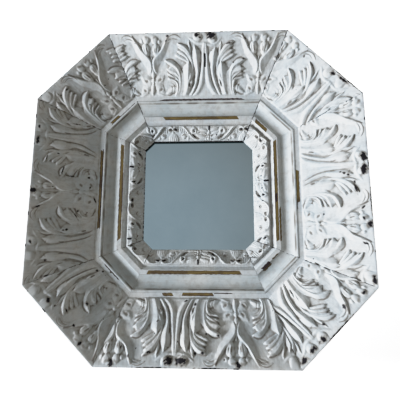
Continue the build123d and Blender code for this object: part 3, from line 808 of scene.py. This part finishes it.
def seamDirt(side, along, inset, seed):
    start, end = seams[side]
    strength = np.where(along < 0, start, end)
    ends = sideLimit(side, inset) - np.abs(along)
    return ramp(1.5 + strength, 0.3, ends) * strength * (0.75 + 0.35 * waves(along, inset, 16, seed))


nails = {
    "radius": 1.5,
    "height": 0.7,
    "smallest": 0.88,
    "largest": 1.12,
    "segments": 10,
    "rings": 6,
    "seed": 4,
    "dentDepth": 0.9,
    "dentReach": 3.6,
    "inset": 0.9,
    "depth": 10.0,
    "spacing": 65.0,
}


def nailPlaces(side):
    # along the skirt, where nails hold it to the rail
    reach = sideLimit(side, nails["inset"]) - 0.35 * nails["spacing"]
    count = max(2, round(2 * reach / nails["spacing"]) + 1)
    return np.linspace(-reach, reach, count)


leaves = acanthusCell()
curls = scrollCell()
print("relief drawn")


def pressedPanel(side, seed):
    rows = bentSection(panelShape["points"], panelShape["steps"])
    columns = int(2 * sideHalf(side) / panelShape["column"]) + 1
    w = np.linspace(-1, 1, columns)[None, :]
    inset, depth = rows[:, 0][:, None], rows[:, 1][:, None]
    along = w * sideLimit(side, inset)
    start, end = panelShape["slope"]
    onSlope = ramp(start + 0.1, start + 0.3, inset) * (inset < end)
    warp = panelShape["warp"]
    u = fold(along + warp * waves(along, inset, 90, seed), acanthus["axes"][side], acanthus["period"])
    v = inset + warp * waves(along, inset, 80, seed + 1) * ramp(start, 20, inset) * ramp(end, 140, inset)
    height = leaves.read(leaves.field, u, v)
    flat = panelShape["flatten"] * ramp(-0.2, 1.4, waves(along, inset, 120, seed + 2))
    height = height * panelShape["weak"].get(side, panelShape["height"]) * (1 - flat)
    height = np.minimum(height, np.maximum(0, acanthus["rimRise"] * (inset - start - 0.2)))
    height = height * onSlope * ramp(end - 0.1, end - 3, inset)
    # painted shade in the hollows of the relief, with dirt lines
    grime_and_shade = leaves.read(leaves.hollow, u, v) * onSlope
    slit = ramp(3, 2, u) * ramp(52, 54, v) * ramp(85, 83, v) * (side == "top")
    height = height - 2.5 * slit
    # on the skirt a chip ends a little way below the rim
    onSkirt = inset < 0.01
    knocks, halo = chipped(side, along, inset - depth * onSkirt)
    # brown round the chips, and painted shade over a whole side
    grime_and_shade = np.maximum(grime_and_shade, 1.1 * halo) + panelShape["paintedShade"].get(side, 0) * onSlope
    high = leaves.read(leaves.field, u, v) / 12
    flecks = ramp(3.1, 3.6, waves(along, inset, 15, seed + 4) + 0.7 * high) * onSlope
    rim = ramp(6, 2, inset) * ramp(1.1, 1.8, waves(along, inset * 0.3, 26, seed + 5)) * (depth < 3)
    crack = seamDirt(side, along, inset, seed + 3) * (inset < end + 0.5)
    gilt, tarnish_and_shade = wornStrips(side, along, inset)
    worn = {"bare_and_shadow": np.maximum.reduce([crack, flecks * 0.8, rim * 0.85, knocks, 1.2 * slit]) + 0 * w,
            "gilt": gilt * (inset > end + 0.5), "tarnish_and_shade": tarnish_and_shade, "grime_and_shade": grime_and_shade}
    # relief stands square to the slope; the skirt is dented round its nails
    lean = np.tile(panelShape["lean"], (len(rows), 1))
    lean[onSkirt[:, 0]] = (1, 0)
    for place in nailPlaces(side):
        far = np.hypot(along - place, depth - nails["depth"])
        dent = nails["dentDepth"] * np.exp(-((far / nails["dentReach"]) ** 4))
        height = np.where(onSkirt, np.maximum(height, dent), height)
    piece = sheetMesh("pressed_panel_" + side, rows, side, columns, height, lean, worn)
    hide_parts("outer_panel_" + side)
    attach(piece, "frame")


def scrollBand(side, seed):
    rows = bentSection(bandShape["points"], bandShape["steps"])
    crest, low, mouth = bandShape["crest"], bandShape["low"], bandShape["mouth"]
    columns = int(2 * sideLimit(side, crest) / bandShape["column"]) + 1
    w = np.linspace(-1, 1, columns)[None, :]
    inset = rows[:, 0][:, None]
    along = w * sideLimit(side, inset)
    warp = bandShape["warp"]
    u = fold(along + warp * waves(along, inset, 60, seed), scroll["axes"][side], scroll["period"])
    height = curls.read(curls.field, u, inset) * (inset < mouth - 0.1)
    # painted shade in the hollows, in the valley and near the opening
    grime_and_shade = curls.read(curls.hollow, u, inset) * ramp(low - 3, low + 3, inset)
    valley = bandShape["valley"].get(side, bandShape["paintedShade"])
    edges = valley * ramp(9, 2, np.abs(inset - low - 1)) + 0.2 * ramp(3, 0, np.abs(inset - mouth + 1))
    grime_and_shade = np.maximum(grime_and_shade, edges)
    crack = seamDirt(side, along, inset, seed + 3)
    flecks = ramp(2.9, 3.4, waves(along, inset, 13, seed + 4) + 0.5 * height / 4) * (inset > low + 3)
    patches = ramp(-1.2, 0.3, waves(along, inset, 40, seed + 6))
    holes = curls.read(curls.black, u, inset) * patches * (inset > low + 1)
    gilt, tarnish_and_shade = wornStrips(side, along, inset)
    # painted shadow of the lip along the opening
    lip = ramp(mouth - 2.6, mouth - 1.2, inset) * bandShape["lip"].get(side, 0) + 0 * along
    worn = {"bare_and_shadow": np.maximum.reduce([crack, flecks * 0.8, holes, lip]),
            "gilt": gilt * (inset < crest + 0.5), "tarnish_and_shade": tarnish_and_shade, "grime_and_shade": grime_and_shade}
    tilt = ramp(low, low + 11, rows[:, 0]) * bandShape["tilt"]
    lean = np.stack([tilt, -np.sqrt(1 - tilt**2)], 1)
    piece = sheetMesh("scroll_band_" + side, rows, side, columns, height, lean, worn)
    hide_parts("inner_band_" + side)
    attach(piece, "frame")


for number, side in enumerate(sideAngles):
    pressedPanel(side, 100 + 10 * number)
    scrollBand(side, 300 + 10 * number)
print("pressed panels and bands made")


# Cove moulding

cove = {
    "outerEdge": 158.6,
    "beadStart": 171.0,
    "beadWidth": 8.0,
    "beadRise": 2.2,
    "coveWidth": 41.0,
    "coveDrop": 9.2,
    "coveSag": 11.5,
    "ledgeGap": 0.6,  # from the cove's end to the ledge that carries the band
    "innerEdge": 232.4,
    "filletDepth": 84.0,
    "outerLedge": 84.9,
    "innerLedge": 92.4,
    "backDepth": 104.4,
    "beadSteps": 12,
    "coveSteps": 48,
    "step": 1.8,  # along the length
}


def newGroup(name, floats, integers, fromGeometry=False):
    # empty node tree with named inputs and one geometry output
    tree = bpy.data.node_groups.new(name, "GeometryNodeTree")
    if fromGeometry:
        tree.interface.new_socket("Geometry", in_out="INPUT", socket_type="NodeSocketGeometry")
    tree.interface.new_socket("Geometry", in_out="OUTPUT", socket_type="NodeSocketGeometry")
    for key in floats:
        tree.interface.new_socket(key, in_out="INPUT", socket_type="NodeSocketFloat")
    for key in integers:
        tree.interface.new_socket(key, in_out="INPUT", socket_type="NodeSocketInt")
    tree.interface.new_socket("Material", in_out="INPUT", socket_type="NodeSocketMaterial")
    given = addNode(tree, "NodeGroupInput")
    return tree, given.outputs


def closeGroup(tree, given, geometry):
    real = addNode(tree, "GeometryNodeRealizeInstances", {"Geometry": geometry}).outputs[0]
    inputs = {"Geometry": real, "Material": given["Material"]}
    done = addNode(tree, "GeometryNodeSetMaterial", inputs).outputs[0]
    addNode(tree, "NodeGroupOutput", {"Geometry": done})


def grownMesh(name, tree, values, seed=None):
    # run a node tree with its inputs set and keep the result as a plain mesh
    seed = seed or bpy.data.meshes.new(name + "_seed")
    holder = bpy.data.objects.new(name, seed)
    bpy.context.collection.objects.link(holder)
    modifier = holder.modifiers.new("grow", "NODES")
    modifier.node_group = tree
    for item in tree.interface.items_tree:
        if item.item_type == "SOCKET" and item.in_out == "INPUT" and item.name in values:
            modifier[item.identifier] = values[item.name]
    graph = bpy.context.evaluated_depsgraph_get()
    mesh = bpy.data.meshes.new_from_object(holder.evaluated_get(graph), depsgraph=graph)
    holder.modifiers.clear()
    holder.data = mesh
    bpy.data.meshes.remove(seed)
    mesh.name = name
    return holder


def coveInputs(side):
    # the section's places (inset) and depths, worked out from the sizes, and where the length goes
    depth, beadStart = cove["filletDepth"], cove["beadStart"]
    coveStart = beadStart + cove["beadWidth"]
    coveEnd = coveStart + cove["coveWidth"]
    return {
        "Bead Start": beadStart,
        "Bead Middle": beadStart + cove["beadWidth"] / 2,
        "Cove Start": coveStart,
        "Cove Middle": coveStart + cove["coveWidth"] / 2,
        "Cove End": coveEnd,
        "Ledge Start": coveEnd + cove["ledgeGap"],
        "Inner Edge": cove["innerEdge"],
        "Outer Edge": cove["outerEdge"],
        "Fillet Depth": depth,
        "Bead Depth": depth - cove["beadRise"],
        "Sag Depth": depth + cove["coveDrop"] / 2 + cove["coveSag"],
        "Drop Depth": depth + cove["coveDrop"],
        "Inner Ledge": cove["innerLedge"],
        "Outer Ledge": cove["outerLedge"],
        "Back Depth": cove["backDepth"],
        "Turn": -math.radians(sideAngles[side]),
        "Side Distance": sideDistance(side),
        "Half Length": sideHalf(side) - outline["mitreGap"] / math.cos(math.radians(22.5)),
        "Front": outline["front"],
    }


def coveTree():
    steps = ["Bead Steps", "Cove Steps", "Length Steps"]
    tree, given = newGroup("cove_moulding_length", coveInputs("top"), steps)
    # corners of the section in order: place and depth
    corners = []
    for x, y in (("Bead Start", "Fillet Depth"), ("Bead Middle", "Bead Depth"),
                 ("Cove Start", "Fillet Depth"), ("Cove Middle", "Sag Depth"),
                 ("Cove End", "Drop Depth"), ("Ledge Start", "Inner Ledge"),
                 ("Inner Edge", "Inner Ledge"), ("Inner Edge", "Back Depth"),
                 ("Outer Edge", "Back Depth"), ("Outer Edge", "Outer Ledge"),
                 ("Bead Start", "Outer Ledge"), ("Bead Start", "Fillet Depth")):
        corners.append(addNode(tree, "ShaderNodeCombineXYZ", {0: given[x], 1: given[y]}).outputs[0])
    parts = []
    for k, key in ((0, "Bead Steps"), (2, "Cove Steps")):
        inputs = {"Start": corners[k], "Middle": corners[k + 1], "End": corners[k + 2],
                  "Resolution": given[key]}
        parts.append(addNode(tree, "GeometryNodeCurveArc", inputs, mode="POINTS").outputs[0])
    for start, end in zip(corners[4:], corners[5:]):
        inputs = {"Start": start, "End": end}
        parts.append(addNode(tree, "GeometryNodeCurvePrimitiveLine", inputs).outputs[0])
    joined = addNode(tree, "GeometryNodeJoinGeometry")
    for part in parts:
        tree.links.new(part, joined.inputs[0])
    # one closed outline that keeps each point's inset and depth, and a path that keeps its share
    wire = addNode(tree, "GeometryNodeCurveToMesh", {"Curve": joined.outputs[0]}).outputs[0]
    wire = addNode(tree, "GeometryNodeMergeByDistance", {"Geometry": wire, "Distance": 0.01}).outputs[0]
    section = addNode(tree, "GeometryNodeMeshToCurve", {"Mesh": wire}).outputs[0]
    place = addNode(tree, "GeometryNodeInputPosition").outputs[0]
    apart = addNode(tree, "ShaderNodeSeparateXYZ", {0: place}).outputs
    floats = dict(data_type="FLOAT", domain="POINT")
    for key, value in (("inset", apart[0]), ("depth", apart[1])):
        inputs = {"Geometry": section, "Name": key, "Value": value}
        section = addNode(tree, "GeometryNodeStoreNamedAttribute", inputs, **floats).outputs[0]
    inputs = {"Start": (-1, 0, 0), "End": (1, 0, 0)}
    path = addNode(tree, "GeometryNodeCurvePrimitiveLine", inputs).outputs[0]
    inputs = {"Curve": path, "Count": given["Length Steps"]}
    path = addNode(tree, "GeometryNodeResampleCurve", inputs).outputs[0]
    inputs = {"Geometry": path, "Name": "share", "Value": apart[0]}
    path = addNode(tree, "GeometryNodeStoreNamedAttribute", inputs, **floats).outputs[0]
    inputs = {"Curve": path, "Profile Curve": section, "Fill Caps": True}
    solid = addNode(tree, "GeometryNodeCurveToMesh", inputs).outputs[0]
    # each point to its place: ends cut on the mitre, then the whole length turned to its side
    read = {}
    for key in ("inset", "depth", "share"):
        named = addNode(tree, "GeometryNodeInputNamedAttribute", {"Name": key}, data_type="FLOAT")
        read[key] = named.outputs[0]
    inputs = {0: read["inset"], 1: -mitreSlope, 2: given["Half Length"]}
    limit = addNode(tree, "ShaderNodeMath", inputs, operation="MULTIPLY_ADD").outputs[0]
    along = addNode(tree, "ShaderNodeMath", {0: read["share"], 1: limit}, operation="MULTIPLY").outputs[0]
    back = addNode(tree, "ShaderNodeMath", {0: along, 1: -1.0}, operation="MULTIPLY").outputs[0]
    inputs = {0: given["Side Distance"], 1: read["inset"]}
    out = addNode(tree, "ShaderNodeMath", inputs, operation="SUBTRACT").outputs[0]
    deep = addNode(tree, "ShaderNodeMath", {0: given["Front"], 1: read["depth"]},
                   operation="ADD").outputs[0]
    level = addNode(tree, "ShaderNodeCombineXYZ", {0: out, 1: deep, 2: back}).outputs[0]
    inputs = {"Vector": level, "Axis": (0, 1, 0), "Angle": given["Turn"]}
    turned = addNode(tree, "ShaderNodeVectorRotate", inputs, rotation_type="AXIS_ANGLE").outputs[0]
    metres = addNode(tree, "ShaderNodeVectorMath", {0: turned, "Scale": 0.001},
                     operation="SCALE").outputs[0]
    placed = addNode(tree, "GeometryNodeSetPosition", {"Geometry": solid, "Position": metres}).outputs[0]
    inputs = {"Geometry": placed, "Name": "along", "Value": along}
    placed = addNode(tree, "GeometryNodeStoreNamedAttribute", inputs, **floats).outputs[0]
    closeGroup(tree, given, placed)
    return tree


coveLength = coveTree()


def readLayer(mesh, key):
    values = np.zeros(len(mesh.vertices), np.float32)
    mesh.attributes[key].data.foreach_get("value", values)
    return values.astype(float)


def outwards(mesh):
    shape = bmesh.new()
    shape.from_mesh(mesh)
    bmesh.ops.recalc_face_normals(shape, faces=shape.faces)
    shape.to_mesh(mesh)
    shape.free()


def paintedCove(side, seed):
    values = coveInputs(side)
    values.update({"Bead Steps": cove["beadSteps"], "Cove Steps": cove["coveSteps"], "Material": woodPaint,
                   "Length Steps": int(2 * sideLimit(side, cove["beadStart"]) / cove["step"])})
    piece = grownMesh("painted_cove_" + side, coveLength, values)
    mesh = piece.data
    outwards(mesh)
    along, inset = readLayer(mesh, "along"), readLayer(mesh, "inset")
    gilt, tarnish_and_shade = wornStrips(side, along, inset)
    crack = seamDirt(side, along, inset, seed)
    beadEnd = cove["beadStart"] + cove["beadWidth"]
    coveEnd = beadEnd + cove["coveWidth"]
    quirk = ramp(2.4, 0.8, np.abs(inset - beadEnd - 0.5))  # painted shade in the groove at the foot of the bead
    uneven = 0.7 + 0.3 * waves(along, inset, 60, seed + 1)
    # painted shade in the groove and at the foot of the fillet, darker along the joint with the tin, and
    # dirt in the mitre cracks
    grime_and_shade = np.maximum.reduce([1.5 * quirk * uneven, 0.9 * ramp(0.2, 0.8, crack),
                               0.8 * ramp(1.6, 0, np.abs(inset - cove["beadStart"])),
                               0.7 * ramp(3, 0, coveEnd - inset)])
    for key in ("along", "inset", "depth", "share"):
        mesh.attributes.remove(mesh.attributes[key])
    addRun(mesh, along, inset)
    for key, layer in (("grime_and_shade", grime_and_shade), ("bare_and_shadow", crack), ("gilt", gilt), ("tarnish_and_shade", tarnish_and_shade)):
        addLayer(mesh, key, layer)
    mesh.shade_smooth()
    mesh.set_sharp_from_angle(angle=math.radians(35))
    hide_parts("cove_moulding_" + side)
    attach(piece, "frame")


for number, side in enumerate(sideAngles):
    paintedCove(side, 500 + 10 * number)
print("cove moulding made")


# Nail heads

def nailTree():
    tree, given = newGroup("nail_heads_on_points", ["Radius", "Flatness", "Smallest", "Largest"],
                           ["Segments", "Rings", "Seed"], fromGeometry=True)
    inputs = {key: given[key] for key in ("Segments", "Rings", "Radius")}
    ball = addNode(tree, "GeometryNodeMeshUVSphere", inputs).outputs[0]
    flat = addNode(tree, "ShaderNodeCombineXYZ", {0: 1.0, 1: 1.0, 2: given["Flatness"]}).outputs[0]
    head = addNode(tree, "GeometryNodeTransform", {"Geometry": ball, "Scale": flat}).outputs[0]
    facing = addNode(tree, "GeometryNodeInputNamedAttribute", {"Name": "facing"}, data_type="FLOAT_VECTOR")
    turn = addNode(tree, "FunctionNodeAlignRotationToVector", {"Vector": facing.outputs[0]},
                   axis="Z").outputs[0]
    inputs = {2: given["Smallest"], 3: given["Largest"], "Seed": given["Seed"]}
    size = addNode(tree, "FunctionNodeRandomValue", inputs, data_type="FLOAT").outputs[1]
    points = addNode(tree, "GeometryNodeMeshToPoints", {"Mesh": given["Geometry"]}).outputs[0]
    inputs = {"Points": points, "Instance": head, "Rotation": turn, "Scale": size}
    placed = addNode(tree, "GeometryNodeInstanceOnPoints", inputs).outputs[0]
    closeGroup(tree, given, placed)
    return tree


def nailHeads():
    places, facings = [], []
    for side in sideAngles:
        along = nailPlaces(side)
        places.append(sidePoint(side, along, nails["inset"], nails["depth"]))
        away = sidePoint(side, 0.0, -1.0, 0.0) - sidePoint(side, 0.0, 0.0, 0.0)
        facings.append(np.tile(away * 1000, (len(along), 1)))
    seed = bpy.data.meshes.new("nail_places")
    seed.from_pydata(np.vstack(places).tolist(), [], [])
    layer = seed.attributes.new("facing", "FLOAT_VECTOR", "POINT")
    layer.data.foreach_set("vector", np.vstack(facings).astype(np.float32).ravel())
    values = {key.capitalize(): nails[key] for key in ("smallest", "largest", "segments", "rings", "seed")}
    values.update({"Radius": nails["radius"] * 0.001, "Flatness": nails["height"] / nails["radius"],
                   "Material": tinPaint})
    piece = grownMesh("nail_heads", nailTree(), values, seed)
    piece.data.shade_smooth()
    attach(piece, "frame")


nailHeads()
print("nail heads made")


# Mirror plate, wood and fittings

def dress(node, material):
    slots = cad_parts[node].material_slots
    for item in slots:
        item.material = material


dress("mirror_plate", silver)
dress("backing_board", hardboard)
dress("wall_bumpers", rubber)
for node in ("mirror_clips", "clip_screws", "hanger_strap_left", "hanger_strap_right",
             "hanger_ring_left", "hanger_ring_right", "hanger_screws"):
    dress(node, zinc)

pine = {}
for side, angle in sideAngles.items():
    turn = angle % 180
    if turn not in pine:
        # sawn pine: pale yellow brown, darker lines along the grain
        pine[turn] = plainMaterial("sawn_pine_%d" % turn, ("#b98d5c", "#8d6238"), 7, (0.55, 0.7), 0.0004,
                                   stretch=(0.06, 1, 1), turn=turn - 90, detail=6.0)
    dress("rim_rail_" + side, pine[turn])
    dress("base_rail_" + side, pine[turn])
for number in range(8):
    name = "corner_rib_%d" % (number + 1)
    # birch plywood: thin pale and dark plies seen on the sawn edges
    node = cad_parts[name]
    middle = node.matrix_world @ Vector(np.mean(node.bound_box, axis=0))
    turn = math.degrees(math.atan2(middle.z, middle.x))
    plies = plainMaterial("sawn_birch_plywood_%d" % (number + 1), ("#cdb083", "#94703f"), 1.6,
                          (0.5, 0.65), 0.0002, stretch=(0.03, 0.03, 1), turn=turn, detail=2.0)
    dress(name, plies)
print("wood and fittings dressed")


# Studio

studio = {
    "lens": 28.316,
    "cameraPlace": (0.04193, -0.97516, -0.16010),
    "cameraRight": (0.99923, 0.03926, 0.00216),
    "cameraUp": (0.00369, -0.14845, 0.98891),
    "cameraBack": (0.03915, -0.98814, -0.14848),
    "floorHeight": -2.6,
    "backdropDistance": 3.0,
    "wallColour": "#7c7264",
    "skyColour": "#bac8d0",
    "skyMiddle": (-0.16, -0.985, 0.06),  # towards the paler part of the room, in front
    "skyReach": 0.84,  # how nearly a direction has to point there
    "roomLight": 0.86,
    # tone curve with a soft roll-off of the highlights
    "shoulder": [(0.25, 0.25), (0.5, 0.52), (0.7, 0.715), (0.9, 0.82), (1.2, 0.89), (1.6, 0.95)],
    "paper": "#f2f2f2",
}

cameraData = bpy.data.cameras.new("camera")
cameraData.lens = studio["lens"]
cameraData.sensor_width = 36.0
cameraData.clip_start = 0.05
camera = bpy.data.objects.new("camera", cameraData)
bpy.context.collection.objects.link(camera)
columns = [studio[key] for key in ("cameraRight", "cameraUp", "cameraBack", "cameraPlace")]
camera.matrix_world = Matrix([*zip(*columns), (0, 0, 0, 1)])
bpy.context.scene.camera = camera

view = bpy.context.scene.view_settings
view.view_transform = "Standard"
view.use_curve_mapping = True
shoulder = view.curve_mapping
shoulder.use_clip = False
shoulder.white_level = (1, 1, 1)
shoulder.curves[3].points[1].location = (2.0, 1.0)
for x, y in studio["shoulder"]:
    shoulder.curves[3].points.new(x, y)
shoulder.update()


def sweepBackdrop():
    # pale floor that curves up into a backdrop far behind
    radius, far, half, high = 1.2, studio["backdropDistance"], 9.0, 6.0
    line = [(-9.0, 0.0)]
    for k in range(17):
        a = math.radians(90 * k / 16)
        line.append((far - radius + radius * math.sin(a), radius - radius * math.cos(a)))
    line.append((far, high))
    points = [(x, y, studio["floorHeight"] + z) for y, z in line for x in (-half, half)]
    faces = [(2 * k, 2 * k + 1, 2 * k + 3, 2 * k + 2) for k in range(len(line) - 1)]
    mesh = bpy.data.meshes.new("studio_sweep")
    mesh.from_pydata(points, [], faces)
    mesh.shade_smooth()
    sweep = bpy.data.objects.new("studio_sweep", mesh)
    bpy.context.collection.objects.link(sweep)
    material, tree = newMaterial("white_paper_sweep")
    place = addNode(tree, "ShaderNodeTexCoord").outputs["Object"]
    fibre = addNode(tree, "ShaderNodeTexNoise", {"Vector": place, "Scale": 3.0}).outputs["Fac"]
    inputs = {"Height": fibre, "Strength": 0.05, "Distance": 0.001}
    bump = addNode(tree, "ShaderNodeBump", inputs).outputs[0]
    inputs = {"Base Color": toLinear("#f7f7f7"), "Roughness": 0.9, "Normal": bump}
    shader = addNode(tree, "ShaderNodeBsdfPrincipled", inputs)
    addNode(tree, "ShaderNodeOutputMaterial", {"Surface": shader.outputs[0]})
    mesh.materials.append(material)
    sweep.visible_diffuse = False
    sweep.visible_glossy = False
    return sweep


sweep = sweepBackdrop()


def softLight(name, place, aim, size, power, colour, only=None):
    data = bpy.data.lights.new(name, "AREA")
    data.shape = "DISK"
    data.size = size
    data.energy = power
    data.color = toLinear(colour)[:3]
    lamp = bpy.data.objects.new(name, data)
    bpy.context.collection.objects.link(lamp)
    lamp.location = place
    lamp.rotation_euler = (Vector(aim) - Vector(place)).to_track_quat("-Z", "Y").to_euler()
    if only:
        group = bpy.data.collections.new(name + "_lights")
        group.objects.link(only)
        lamp.light_linking.receiver_collection = group


softLight("window", (-5.69, -2.83, -1.54), (0, -0.1, 0), 1.5, 450, "#f4f8ff")
softLight("window_low", (-6.3, -0.97, -1.23), (0, -0.1, 0), 2.5, 290, "#f4f8ff")
softLight("back_fill", (1.0, 2.2, 1.5), (0, 0, 0), 2.0, 40, "#ffffff")
softLight("sweep_light", (0, 0.5, 5.5), (0, 1.5, -1), 6.0, 3200, "#ffffff", only=sweep)

world = bpy.data.worlds.new("room")
bpy.context.scene.world = world
world.use_nodes = True
tree = world.node_tree
tree.nodes.clear()
direction = addNode(tree, "ShaderNodeTexCoord").outputs["Generated"]
facing = addNode(tree, "ShaderNodeVectorMath", {0: direction, 1: studio["skyMiddle"]},
                 operation="DOT_PRODUCT").outputs["Value"]
front = addNode(tree, "ShaderNodeMapRange", {0: facing, 1: studio["skyReach"], 2: 1.0}).outputs[0]
inputs = {0: front, 6: toLinear(studio["wallColour"]), 7: toLinear(studio["skyColour"])}
room = addNode(tree, "ShaderNodeMix", inputs, data_type="RGBA").outputs[2]
background = addNode(tree, "ShaderNodeBackground", {"Color": room, "Strength": studio["roomLight"]})
# seen straight on, the room is the same pale paper as the sweep
paper = addNode(tree, "ShaderNodeBackground", {"Color": toLinear(studio["paper"]), "Strength": 1.0})
seen = addNode(tree, "ShaderNodeLightPath").outputs["Is Camera Ray"]
surface = addNode(tree, "ShaderNodeMixShader", {0: seen, 1: background.outputs[0], 2: paper.outputs[0]})
addNode(tree, "ShaderNodeOutputWorld", {"Surface": surface.outputs[0]})
print("studio ready")
